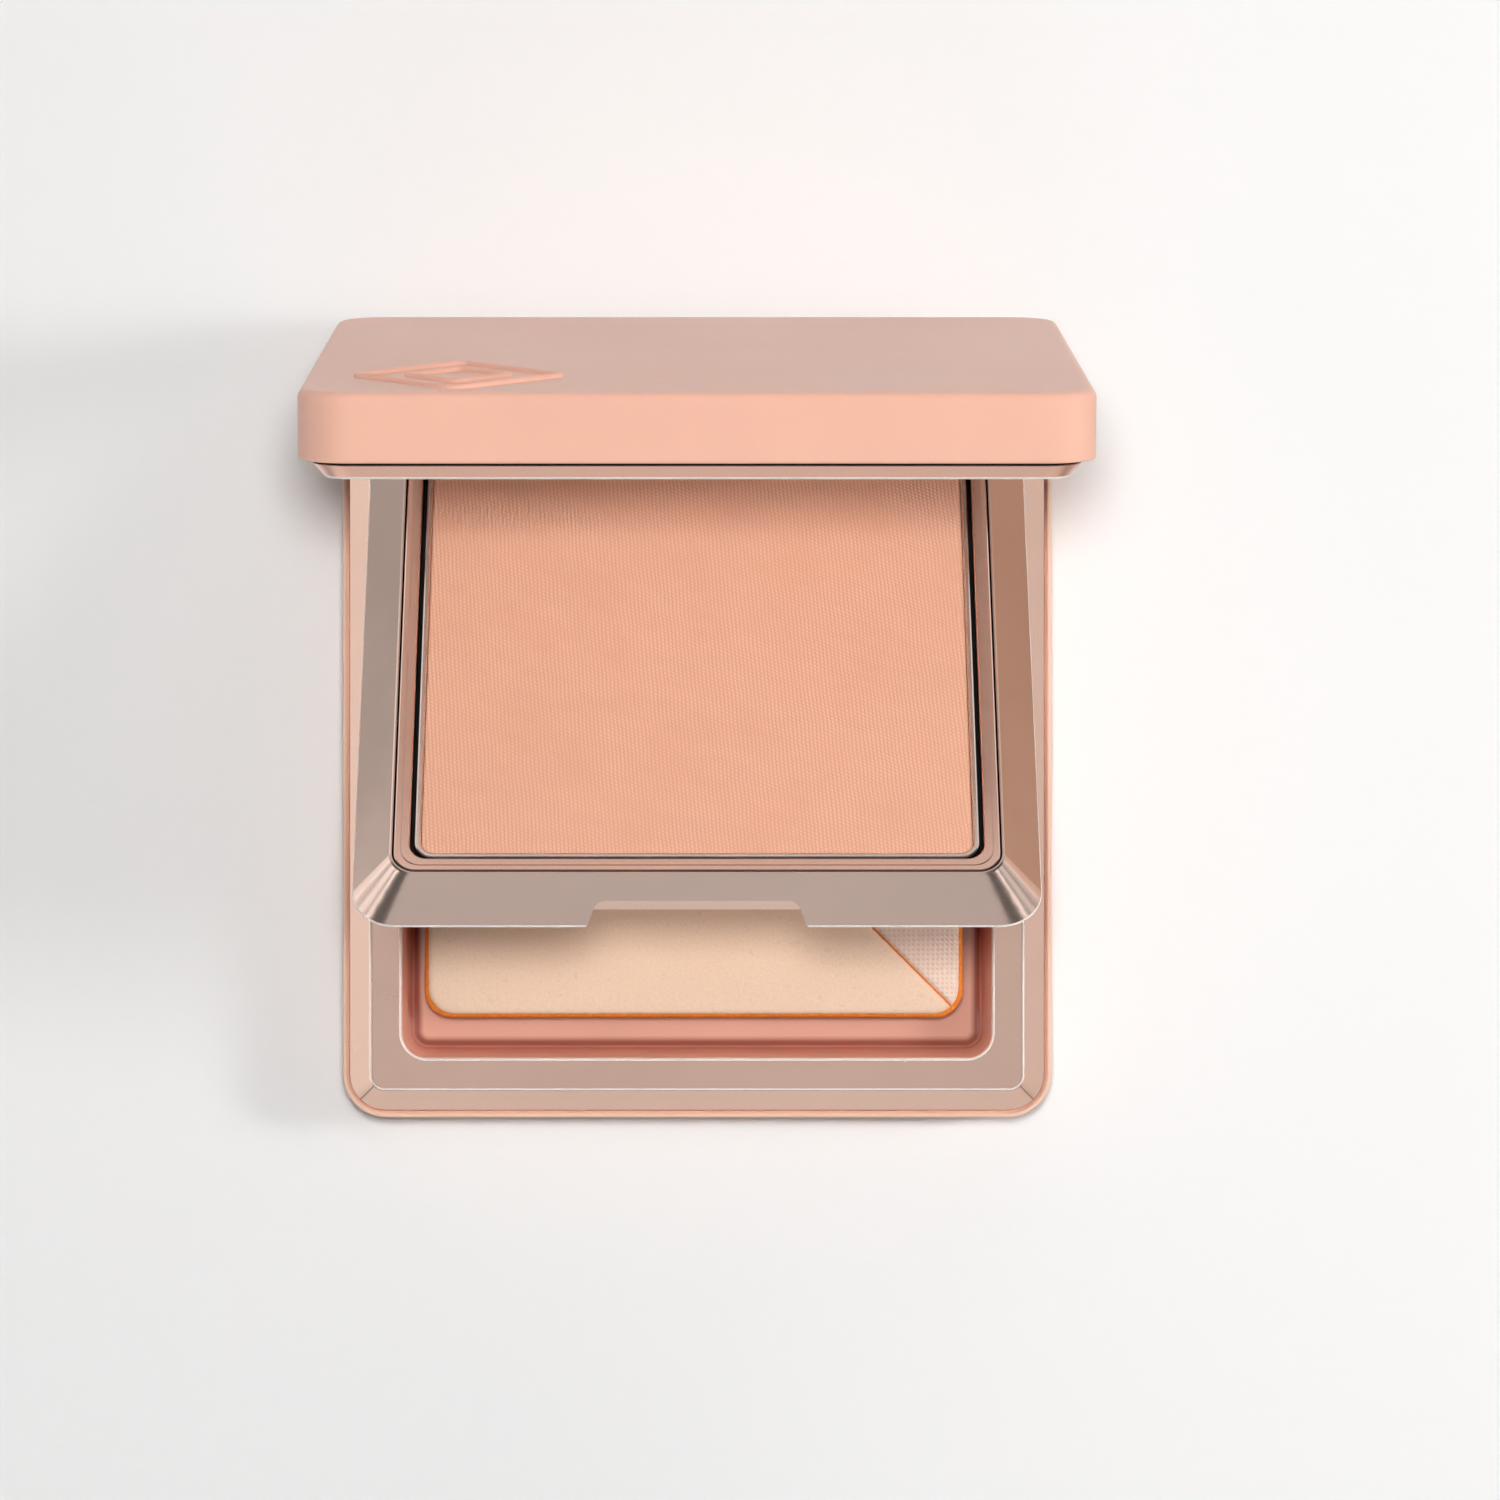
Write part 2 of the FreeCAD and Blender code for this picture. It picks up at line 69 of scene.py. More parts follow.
class Mat:
    """Small builder for a procedural material on object coordinates."""
    def __init__(self, name, **fixed):
        self.m = bpy.data.materials.new(name)
        self.m.use_nodes = True
        self.nt = self.m.node_tree
        self.b = self.nt.nodes["Principled BSDF"]
        self.tc = self.nt.nodes.new("ShaderNodeTexCoord")
        self.set(**fixed)

    def set(self, **fixed):
        names = {"base": "Base Color", "metal": "Metallic", "rough": "Roughness", "ior": "IOR", "coat": "Coat Weight",
                 "coat_rough": "Coat Roughness", "sheen": "Sheen Weight", "sheen_rough": "Sheen Roughness",
                 "spec": "Specular IOR Level", "sss": "Subsurface Weight", "sss_scale": "Subsurface Scale",
                 "aniso": "Anisotropic", "sheen_tint": "Sheen Tint", "coat_tint": "Coat Tint"}
        for k, v in fixed.items():
            self.b.inputs[names[k]].default_value = v
        return self

    def node(self, kind, **vals):
        n = self.nt.nodes.new(kind)
        for k, v in vals.items():
            if k in n.inputs:
                n.inputs[k].default_value = v
            else:
                setattr(n, k, v)
        return n

    def link(self, a, b):
        self.nt.links.new(a, b)

    def coords(self, scale=(1, 1, 1), rot=(0, 0, 0)):
        m = self.node("ShaderNodeMapping")
        m.inputs["Scale"].default_value = scale
        m.inputs["Rotation"].default_value = rot
        self.link(self.tc.outputs["Object"], m.inputs["Vector"])
        return m.outputs["Vector"]

    def noise(self, scale, detail=3.0, rough=0.5, vec=None, distort=0.0):
        n = self.node("ShaderNodeTexNoise")
        n.inputs["Scale"].default_value = scale
        n.inputs["Detail"].default_value = detail
        n.inputs["Roughness"].default_value = rough
        n.inputs["Distortion"].default_value = distort
        self.link(vec if vec is not None else self.tc.outputs["Object"], n.inputs["Vector"])
        return n.outputs["Fac"]

    def remap(self, fac, lo, hi, a=0.3, b=0.7):
        n = self.node("ShaderNodeMapRange")
        n.inputs["From Min"].default_value = a
        n.inputs["From Max"].default_value = b
        n.inputs["To Min"].default_value = lo
        n.inputs["To Max"].default_value = hi
        self.link(fac, n.inputs["Value"])
        return n.outputs["Result"]

    def ramp(self, fac, stops):
        n = self.node("ShaderNodeValToRGB")
        cr = n.color_ramp
        while len(cr.elements) < len(stops):
            cr.elements.new(0.5)
        for e, (p, c) in zip(cr.elements, stops):
            e.position = p
            e.color = c
        self.link(fac, n.inputs["Fac"])
        return n.outputs["Color"]

    def mix(self, fac, a, b, blend="MIX"):
        n = self.node("ShaderNodeMix", data_type="RGBA", blend_type=blend)
        for sock, v in ((n.inputs[0], fac), (n.inputs[6], a), (n.inputs[7], b)):
            if hasattr(v, "links"):
                self.link(v, sock)
            else:
                sock.default_value = v
        return n.outputs[2]

    def math(self, op, a, b=0.0):
        n = self.node("ShaderNodeMath", operation=op)
        for sock, v in ((n.inputs[0], a), (n.inputs[1], b)):
            if hasattr(v, "links"):
                self.link(v, sock)
            else:
                sock.default_value = v
        return n.outputs[0]

    def colour(self, out):
        self.link(out, self.b.inputs["Base Color"])

    def rough(self, out):
        self.link(out, self.b.inputs["Roughness"])

    def bump(self, *layers):
        """layers: (height, strength, distance in metres), summed one on another."""
        prev = None
        for h, s, d in layers:
            n = self.node("ShaderNodeBump")
            n.inputs["Strength"].default_value = s
            n.inputs["Distance"].default_value = d
            self.link(h, n.inputs["Height"])
            if prev is not None:
                self.link(prev, n.inputs["Normal"])
            prev = n.outputs["Normal"]
        self.link(prev, self.b.inputs["Normal"])


def shut_space(m, deg):
    """Coordinates, in metres, of a body as it lies shut, for nodes that ride on it opened by deg."""
    a = m.node("ShaderNodeMapping", vector_type="POINT")
    a.inputs["Location"].default_value = (0, -AXY, -AXZ)
    m.link(m.tc.outputs["Object"], a.inputs["Vector"])
    b = m.node("ShaderNodeMapping", vector_type="POINT")
    b.inputs["Rotation"].default_value = (math.radians(deg), 0, 0)
    b.inputs["Location"].default_value = (0, AXY, AXZ)
    m.link(a.outputs["Vector"], b.inputs["Vector"])
    return b.outputs["Vector"]


def split(m, vec):
    sep = m.node("ShaderNodeSeparateXYZ")
    m.link(vec, sep.inputs[0])
    return sep.outputs["X"], sep.outputs["Y"], sep.outputs["Z"]


def tray_space(m):
    """(|x|, |y|, z) in the shut tray's space and max(|x|, |y|)."""
    x, y, z = split(m, shut_space(m, TRAY_DEG))
    ax, ay = m.math("ABSOLUTE", x), m.math("ABSOLUTE", y)
    return ax, ay, z, m.math("MAXIMUM", ax, ay)


def square_dist(m, x, y, half, r):
    """Distance outwards from the edge of a rounded square, in metres."""
    qx = m.math("MAXIMUM", m.math("SUBTRACT", m.math("ABSOLUTE", x), half - r), 0.0)
    qy = m.math("MAXIMUM", m.math("SUBTRACT", m.math("ABSOLUTE", y), half - r), 0.0)
    d = m.math("SQRT", m.math("ADD", m.math("MULTIPLY", qx, qx), m.math("MULTIPLY", qy, qy)))
    return m.math("SUBTRACT", d, r)


# painted shade: near-black colour laid where gaps and grooves fall in shade
PAINTED_SHADE = (0.012, 0.010, 0.010, 1)


def paint_light_and_shade(m, mask, colour, rough):
    """Painted light and shade: where mask is 1 the plating is replaced by a flat colour with no metal shine, for
    painted highlights and painted shade.
    """
    col = m.b.inputs["Base Color"].links[0].from_socket
    m.colour(m.mix(mask, col, colour))
    keep = m.remap(mask, 1.0, 0.0, 0.0, 1.0)
    was = m.b.inputs["Metallic"].links
    m.link(m.math("MULTIPLY", keep, was[0].from_socket) if len(was) else keep, m.b.inputs["Metallic"])
    r = m.b.inputs["Roughness"].links[0].from_socket
    mx = m.node("ShaderNodeMix", data_type="FLOAT")
    m.link(mask, mx.inputs[0])
    m.link(r, mx.inputs[2])
    mx.inputs[3].default_value = rough
    m.rough(mx.outputs[0])


# painted shade: paints the masked part near-black, with no metal shine
def paint_shade(m, mask, rough):
    paint_light_and_shade(m, mask, PAINTED_SHADE, rough)


# painted highlight: cream colour for the bright lines along metal edges
PAINTED_HIGHLIGHT = (0.96, 0.86, 0.79, 1)


def tint(c, k):
    return tuple(min(1.0, x * k) for x in c[:3]) + (1.0,)


def soft_touch(name, lip_highlight=False):
    c = (0.84, 0.47, 0.345, 1)
    m = Mat(name, rough=0.48, spec=0.42, sheen=0.10, sheen_rough=0.45)
    n = m.noise(90, 4, 0.6)
    col = m.ramp(n, [(0.3, tint(c, 0.975)), (0.7, tint(c, 1.02))])
    if lip_highlight:
        # painted highlight: the top of the moulded lip is coloured paler, where light catches its rounded edge
        x, y, z = split(m, m.tc.outputs["Object"])
        col = m.mix(m.remap(z, 0.0, 0.75, 0.0084, 0.0089), col, (0.93, 0.66, 0.49, 1))
    m.colour(col)
    m.rough(m.remap(m.noise(45, 3), 0.44, 0.52))
    m.bump((m.noise(5200, 2, 0.6), 0.10, 0.00004), (m.noise(900, 3, 0.5), 0.04, 0.00008))
    return m.m


def rose_metal(name, c, r, below=None, within=None, speck=0.0, painted_reflection_marks=False, groove_shade_and_edge_highlight=False):
    m = Mat(name, metal=1.0, rough=r)
    n = m.noise(60, 3, 0.5)
    col = m.ramp(n, [(0.3, tint(c, 0.97)), (0.7, tint(c, 1.02))])
    # a few finger smears and fine polishing haze
    haze = m.noise(35, 4, 0.65, vec=m.coords((1.0, 2.4, 1.0), (0, 0, 0.5)))
    col = m.mix(m.remap(haze, 0.0, 0.16, 0.45, 0.75), col, tint(c, 0.86))
    if painted_reflection_marks:
        x, y, z = split(m, m.tc.outputs["Object"])
        # painted reflection: a dark diagonal line across each bevel corner, where a reflection boundary falls
        off = m.math("ABSOLUTE", m.math("SUBTRACT", m.math("ABSOLUTE", x), m.math("ABSOLUTE", y)))
        line = m.math("MULTIPLY", m.remap(off, 1.0, 0.0, 0.00004, 0.00011),
                      m.math("MULTIPLY", m.remap(z, 1.0, 0.0, 0.01082, 0.01086), m.remap(y, 1.0, 0.0, -0.001, 0.001)))
        col = m.mix(line, col, tint(c, 0.42))
    m.colour(col)
    fine = m.noise(2400, 3, 0.6)
    m.rough(m.remap(m.noise(130, 4, 0.6), r * 0.85, r * 1.18))
    m.bump((fine, 0.03 + speck, 0.00003), (m.noise(240, 2), 0.015, 0.00005))
    if below is not None:
        x, y, z = split(m, shut_space(m, TRAY_DEG))
        # painted shade: below the given level the plating is painted near-black, where the gaps between the parts fall
        # in shade
        mask = m.remap(z, 1.0, 0.0, below - 0.00004, below + 0.00004)
        if within is not None:
            mask = m.math("MULTIPLY", mask, m.remap(square_dist(m, x, y, within, 0.0024), 1.0, 0.0, 0.00002, 0.00006))
            # painted highlight: a pale band along the tray's bottom outer edge
            low = m.math("MULTIPLY", m.remap(z, 1.0, 0.0, 0.01128, 0.01136),
                         m.remap(square_dist(m, x, y, 0.0341, 0.0043), 0.0, 1.0, -0.00035, -0.00025))
            paint_light_and_shade(m, low, tint(PAINTED_HIGHLIGHT, 0.92), 0.35)
        paint_shade(m, mask, 0.6)
    if painted_reflection_marks:
        x, y, z = split(m, m.tc.outputs["Object"])
        # painted highlight: pale lines along the rim's inner and outer edges, with no metal shine
        d = square_dist(m, x, y, 0.03115, 0.0027)
        inner = m.math("MULTIPLY", m.remap(m.math("ABSOLUTE", m.math("SUBTRACT", d, 0.00010)), 1.0, 0.0, 0.00012, 0.00018),
                       m.remap(z, 0.0, 1.0, 0.0106, 0.0108))
        paint_light_and_shade(m, inner, PAINTED_HIGHLIGHT, 0.3)
        d2 = square_dist(m, x, y, 0.03442, 0.00152)
        outer = m.remap(m.math("ABSOLUTE", d2), 1.0, 0.0, 0.00007, 0.00013)
        paint_light_and_shade(m, m.math("MULTIPLY", outer, 0.8), PAINTED_HIGHLIGHT, 0.3)
    if groove_shade_and_edge_highlight:
        x, y, z = split(m, shut_space(m, LID_DEG))
        # painted shade: the bezel is painted near-black from the shadow line below the shell upwards, and a painted
        # highlight runs along its lower edge
        paint_shade(m, m.remap(z, 0.0, 1.0, 0.01284, 0.01288), 0.7)
        paint_light_and_shade(m, m.remap(z, 1.0, 0.0, 0.01162, 0.01168), tint(PAINTED_HIGHLIGHT, 0.95), 0.3)
    return m.m


def gloss_peach():
    c = (0.74, 0.40, 0.29, 1)
    m = Mat("well_gloss_peach", rough=0.22, spec=0.5, coat=0.45, coat_rough=0.10)
    x, y, z = split(m, m.tc.outputs["Object"])
    d = square_dist(m, x, y, 0.03015, 0.0017)
    col = m.ramp(m.noise(70, 3), [(0.3, tint(c, 0.96)), (0.7, tint(c, 1.03))])
    # the drafted walls are coloured lighter than the floor, and painted shade darkens the crease where wall meets
    # floor
    col = m.mix(m.remap(d, 0.0, 1.0, -0.0004, 0.0003), col, (0.88, 0.44, 0.33, 1))
    painted_crease_shade = m.math("MULTIPLY", m.remap(d, 0.0, 1.0, -0.0011, -0.0005), m.remap(d, 1.0, 0.0, -0.0002, 0.0003))
    col = m.mix(m.math("MULTIPLY", painted_crease_shade, 0.85), col, (0.26, 0.045, 0.028, 1))
    m.colour(col)
    m.rough(m.remap(m.noise(150, 3), 0.18, 0.27))
    m.bump((m.noise(1500, 3), 0.03, 0.00004))
    return m.m


def steel(name, c=(0.62, 0.61, 0.60, 1), r=0.25):
    m = Mat(name, metal=1.0)
    v = m.coords((1, 40, 40))
    m.colour(m.ramp(m.noise(300, 3, vec=v), [(0.3, tint(c, 0.9)), (0.7, c)]))
    m.rough(m.remap(m.noise(260, 4, vec=v), r * 0.8, r * 1.3))
    m.bump((m.noise(900, 3, vec=v), 0.05, 0.00003))
    return m.m


def plastic(name, c, r=0.32):
    m = Mat(name, spec=0.5)
    m.colour(m.ramp(m.noise(80, 3), [(0.3, tint(c, 0.96)), (0.7, tint(c, 1.02))]))
    m.rough(m.remap(m.noise(160, 3), r * 0.85, r * 1.15))
    m.bump((m.noise(1600, 3), 0.04, 0.00004))
    return m.m


def powder_mat():
    c = (0.97, 0.535, 0.365, 1)
    m = Mat("pressed_powder", rough=0.88, spec=0.18, sheen=0.12, sheen_rough=0.6)
    vec = shut_space(m, TRAY_DEG)
    x, y, z = split(m, vec)
    # woven press cloth: staggered dimples in columns that lean by a few degrees
    wob = m.math("MULTIPLY", m.math("SUBTRACT", m.noise(260, 2, 0.5, vec=vec), 0.5), 0.00034)
    wob2 = m.math("MULTIPLY", m.math("SUBTRACT", m.noise(300, 2, 0.5, vec=m.coords((1, 1, 1), (0.3, 0.2, 0.9))), 0.5), 0.00030)
    u = m.math("ADD", m.math("ADD", x, m.math("MULTIPLY", y, 0.07)), wob)
    v = m.math("ADD", m.math("ADD", y, m.math("MULTIPLY", x, -0.05)), wob2)
    cu = m.math("COSINE", m.math("MULTIPLY", u, math.pi / 0.00039))
    cv = m.math("COSINE", m.math("MULTIPLY", v, math.pi / 0.000245))
    columns = m.math("ABSOLUTE", cu)
    dots = m.math("MULTIPLY", cu, cv)
    weave = m.math("ADD", m.math("MULTIPLY", columns, 0.9), m.math("MULTIPLY", dots, 0.36))
    patch = m.remap(m.noise(150, 2, 0.5, vec=vec), 0.55, 1.0, 0.35, 0.65)
    weave = m.math("MULTIPLY", weave, patch)
    grain = m.noise(5200, 3, 0.7)
    big = m.noise(120, 4, 0.55)
    col = m.ramp(big, [(0.3, tint(c, 0.98)), (0.7, tint(c, 1.02))])
    col = m.mix(0.35, col, m.ramp(grain, [(0.25, tint(c, 0.92)), (0.75, tint(c, 1.07))]))
    # painted shade: the dimples, the low parts of the weave, are coloured darker
    col = m.mix(m.remap(weave, 0.62, 0.0, -0.2, 0.75), col, (0.74, 0.31, 0.19, 1))
    m.colour(col)
    m.rough(m.remap(grain, 0.8, 0.96))
    m.bump((weave, 0.8, 0.00006), (grain, 0.16, 0.00005))
    return m.m


def foam_mat():
    c = (0.90, 0.26, 0.042, 1)
    m = Mat("sponge_foam", rough=0.9, spec=0.15)
    v = m.node("ShaderNodeTexVoronoi")
    v.inputs["Scale"].default_value = 3800
    m.link(m.tc.outputs["Object"], v.inputs["Vector"])
    n = m.noise(2600, 4, 0.7)
    m.colour(m.ramp(n, [(0.3, tint(c, 0.8)), (0.62, c), (0.8, (0.92, 0.62, 0.36, 1))]))
    m.bump((v.outputs["Distance"], 0.5, 0.00012), (n, 0.3, 0.0001))
    return m.m


def flock_mat():
    c = (0.905, 0.665, 0.485, 1)
    m = Mat("sponge_smooth_cloth", rough=0.92, spec=0.12, sheen=0.35, sheen_rough=0.55)
    n = m.noise(3800, 4, 0.75)
    pores = m.noise(1500, 2, 0.5)
    col = m.ramp(n, [(0.28, tint(c, 0.90)), (0.55, c), (0.8, tint(c, 1.05))])
    # painted shade: the pits of the pore pattern are coloured darker
    col = m.mix(m.remap(pores, 0.35, 0.0, 0.24, 0.36), col, tint(c, 0.72))
    col = m.mix(m.remap(m.noise(160, 3), 0.0, 0.18), col, (0.90, 0.58, 0.42, 1))
    m.colour(col)
    m.bump((n, 0.35, 0.00008), (pores, 0.25, 0.00012))
    return m.m


def mesh_cloth_mat():
    m = Mat("sponge_mesh_cloth", rough=0.85, spec=0.15, sheen=0.3, sheen_rough=0.5)
    def wave(rot, scale):
        w = m.node("ShaderNodeTexWave", wave_type="BANDS", bands_direction="X", wave_profile="SIN")
        w.inputs["Scale"].default_value = scale
        w.inputs["Distortion"].default_value = 0.6
        w.inputs["Detail"].default_value = 1.0
        w.inputs["Detail Scale"].default_value = 1.0
        m.link(m.coords((1, 1, 1), (0, 0, rot)), w.inputs["Vector"])
        return w.outputs["Fac"]
    a, b = wave(0.0, 620), wave(math.pi / 2, 620)
    weave = m.math("MAXIMUM", a, b)
    hole = m.remap(weave, 1.0, 0.0, 0.25, 0.75)
    n = m.noise(2600, 4, 0.7)
    thread = m.ramp(n, [(0.3, (0.90, 0.66, 0.54, 1)), (0.7, (0.96, 0.77, 0.65, 1))])
    m.colour(m.mix(m.math("MULTIPLY", hole, 0.42), thread, (0.84, 0.50, 0.36, 1)))
    m.bump((weave, 0.55, 0.00012), (n, 0.2, 0.00006))
    return m.m


def mirror_mat():
    m = Mat("mirror_glass", metal=1.0, rough=0.015, coat=0.3, coat_rough=0.02)
    m.colour(m.ramp(m.noise(25, 2), [(0.3, (0.90, 0.91, 0.91, 1)), (0.7, (0.93, 0.935, 0.935, 1))]))
    m.rough(m.remap(m.noise(70, 5, 0.7), 0.008, 0.03))
    return m.m


def paper_mat():
    m = Mat("label_paper", rough=0.7, spec=0.3)
    m.colour(m.ramp(m.noise(900, 4, 0.7), [(0.3, (0.80, 0.72, 0.66, 1)), (0.7, (0.88, 0.82, 0.77, 1))]))
    m.bump((m.noise(2600, 4), 0.1, 0.00004))
    return m.m


def pan_metal(c, r):
    """Thin pressed dish: bright inside and over its rim; painted shade makes its outside black in the gap."""
    m = Mat("pan_metal", metal=1.0, rough=r)
    m.colour(m.ramp(m.noise(60, 3, 0.5), [(0.3, tint(c, 0.95)), (0.7, tint(c, 1.03))]))
    m.rough(m.remap(m.noise(130, 4, 0.6), r * 0.8, r * 1.25))
    m.bump((m.noise(2400, 3, 0.6), 0.03, 0.00003))
    x, y, z = split(m, shut_space(m, TRAY_DEG))
    d = square_dist(m, x, y, 0.02795, 0.00195)
    # painted shade: the outside of the dish below its rim is painted near-black, in the gap
    mask = m.math("MULTIPLY", m.remap(z, 1.0, 0.0, 0.01422, 0.01428), m.remap(d, 0.0, 1.0, -0.0003, -0.00022))
    paint_shade(m, mask, 0.6)
    return m.m


MATS = {
    "soft_touch_peach": soft_touch("soft_touch_peach"),
    "rose_bezel": rose_metal("rose_bezel", (0.78, 0.535, 0.435, 1), 0.24, painted_reflection_marks=True),
    "tray_metal": rose_metal("tray_metal", (0.66, 0.50, 0.43, 1), 0.20, below=0.01477, within=0.03015),
    "well_gloss_peach": gloss_peach(),
    "magnet_steel": steel("magnet_steel"),
    "pin_steel": steel("pin_steel", (0.70, 0.66, 0.63, 1), 0.2),
    "sponge_foam": foam_mat(),
    "sponge_smooth_cloth": flock_mat(),
    "sponge_mesh_cloth": mesh_cloth_mat(),
    "tray_floor_plastic": plastic("tray_floor_plastic", (0.74, 0.46, 0.36, 1), 0.3),
    "refill_plastic": rose_metal("refill_plastic", (0.80, 0.55, 0.46, 1), 0.16, below=0.0147),
    "pan_metal": pan_metal((0.82, 0.70, 0.64, 1), 0.16),
    "pressed_powder": powder_mat(),
    "lid_frame_plastic": plastic("lid_frame_plastic", (0.78, 0.50, 0.40, 1), 0.28),
    "mirror_glass": mirror_mat(),
    "tape_foam": plastic("tape_foam", (0.10, 0.10, 0.105, 1), 0.8),
    "label_paper": paper_mat(),
}
OWN = {
    "base_shell": soft_touch("soft_touch_base", lip_highlight=True),
    "lid_bezel": rose_metal("rose_bezel_lid", (0.66, 0.43, 0.355, 1), 0.20, groove_shade_and_edge_highlight=True),
}
for sp in frame["record"]["subparts"]:
    o = frame["nodes"][sp["node"]]
    o.data.materials.clear()
    o.data.materials.append(OWN.get(sp["node"], MATS[sp["material_slot"]]))

# ------------------------------------------------------------------ sponge
SX, SY, SR = -0.35, 0.0, 3.0          # millimetres, from the CAD solid
lo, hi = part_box("sponge_core")
SHX, SHY = (hi.x - lo.x) / 2 / MM, (hi.y - lo.y) / 2 / MM
SX, SY = (hi.x + lo.x) / 2 / MM, (hi.y + lo.y) / 2 / MM
Z0 = lo.z / MM
ZT = hi.z / MM


def ring(hx, hy, r, step=0.6):
    """Points of a rounded rectangle about the origin, counter-clockwise."""
    r = max(r, 0.3)
    pts = []
    for cx, cy, a0 in ((hx - r, -hy + r, -90), (hx - r, hy - r, 0), (-hx + r, hy - r, 90), (-hx + r, -hy + r, 180)):
        k = 7
        for i in range(k + 1):
            a = math.radians(a0 + 90.0 * i / k)
            pts.append((cx + r * math.cos(a), cy + r * math.sin(a)))
    out = []
    if step is None:
        return pts
    for i, p in enumerate(pts):
        q = pts[(i + 1) % len(pts)]
        d = math.dist(p, q)
        k = max(1, int(round(d / step)))
        out += [(p[0] + (q[0] - p[0]) * j / k, p[1] + (q[1] - p[1]) * j / k) for j in range(k)]
    return out


def smooth(o):
    for f in o.data.polygons:
        f.use_smooth = True


def make(name, verts, faces, mat):
    me = bpy.data.meshes.new(name)
    me.from_pydata(verts, [], faces)
    me.update()
    o = bpy.data.objects.new(name, me)
    scene.collection.objects.link(o)
    me.materials.append(mat)
    smooth(o)
    return o


def foam_slab():
    """Foam body: a pad that swells a little under cloth simulation, ten times life size."""
    S = 10.0
    secs = [(Z0 + 0.02, 0.9), (Z0 + 0.12, 0.45), (Z0 + 0.45, 0.18), (Z0 + 1.4, 0.12), ((Z0 + ZT) / 2, 0.2),
            (ZT - 1.2, 0.10), (ZT - 0.35, 0.05), (ZT - 0.08, 0.06), (ZT - 0.04, 0.12)]
    bm = bmesh.new()
    loops = []
    for z, i in secs:
        loops.append([bm.verts.new(((SX + x) * MM * S, (SY + y) * MM * S, z * MM * S)) for x, y in
                      ring(SHX - i, SHY - i, SR - i, None)])
    m = len(loops[0])
    for a, b in zip(loops, loops[1:]):
        for k in range(m):
            bm.faces.new((a[k], a[(k + 1) % m], b[(k + 1) % m], b[k]))
    bm.faces.new(list(reversed(loops[0])))
    bm.faces.new(loops[-1])
    me = bpy.data.meshes.new("sponge_foam")
    bm.to_mesh(me)
    bm.free()
    o = bpy.data.objects.new("sponge_foam", me)
    scene.collection.objects.link(o)
    r = o.modifiers.new("remesh", "REMESH")
    r.mode = "VOXEL"
    r.voxel_size = 0.0062
    bpy.context.view_layer.objects.active = o
    for x in list(bpy.context.selected_objects):
        x.select_set(False)
    o.select_set(True)
    bpy.ops.object.modifier_apply(modifier="remesh")
    start = np.array([v.co[:] for v in o.data.vertices])
    c = o.modifiers.new("cloth", "CLOTH")
    c.settings.use_pressure = True
    c.settings.uniform_pressure_force = 4.0
    c.settings.effector_weights.gravity = 0.0
    c.settings.mass = 0.4
    c.settings.tension_stiffness = c.settings.compression_stiffness = 25.0
    c.point_cache.frame_start, c.point_cache.frame_end = 1, 20
    for f in range(1, 21):
        scene.frame_set(f)
    dg = bpy.context.evaluated_depsgraph_get()
    got = o.evaluated_get(dg).to_mesh()
    end = np.array([v.co[:] for v in got.vertices])
    o.evaluated_get(dg).to_mesh_clear()
    o.modifiers.remove(c)
    scene.frame_set(1)
    mv = end - start
    ln = np.linalg.norm(mv, axis=1)
    cap = 0.0030
    mv *= (np.minimum(ln, cap) / np.maximum(ln, 1e-9))[:, None]
    start = start + mv
    co = start / S
    for k, (c, h) in enumerate(((SX, SHX), (SY, SHY))):
        d = co[:, k] - c * MM
        co[:, k] = c * MM + d * (h * MM / np.abs(d).max())
    co[:, 2] = np.maximum(co[:, 2], (Z0 - 0.01) * MM)
    me2 = o.data
    for v, q in zip(me2.vertices, co):
        v.co = q
    me2.update()
    o.data.materials.clear()
    o.data.materials.append(MATS["sponge_foam"])
    smooth(o)
    return o


foam = foam_slab()
sub = foam.modifiers.new("sub", "SUBSURF")
sub.levels = sub.render_levels = 1

from mathutils.bvhtree import BVHTree
from mathutils.geometry import delaunay_2d_cdt
tree = BVHTree.FromPolygons([v.co.copy() for v in foam.data.vertices], [tuple(f.vertices) for f in foam.data.polygons])


def foam_top(x, y):
    """Height of the foam's upper face, in millimetres, clear of its rounded edge."""
    ex = max(-SHX + 1.5, min(SHX - 1.5, x - SX)) + SX
    ey = max(-SHY + 1.5, min(SHY - 1.5, y - SY)) + SY
    hit = tree.ray_cast(Vector((ex * MM, ey * MM, 0.05)), Vector((0, 0, -1)))
    return hit[0].z / MM


def clip(poly, nx, ny, c):
    """Part of a polygon where nx x + ny y <= c."""
    out = []
    for i, p in enumerate(poly):
        q = poly[(i + 1) % len(poly)]
        dp, dq = nx * p[0] + ny * p[1] - c, nx * q[0] + ny * q[1] - c
        if dp <= 0:
            out.append(p)
        if (dp < 0 < dq) or (dq < 0 < dp):
            t = dp / (dp - dq)
            out.append((p[0] + (q[0] - p[0]) * t, p[1] + (q[1] - p[1]) * t))
    fine = []
    for i, p in enumerate(out):
        q = out[(i + 1) % len(out)]
        d = math.dist(p, q)
        if d < 1e-4:
            continue
        k = max(1, int(round(d / 0.6)))
        fine += [(p[0] + (q[0] - p[0]) * j / k, p[1] + (q[1] - p[1]) * j / k) for j in range(k)]
    return fine


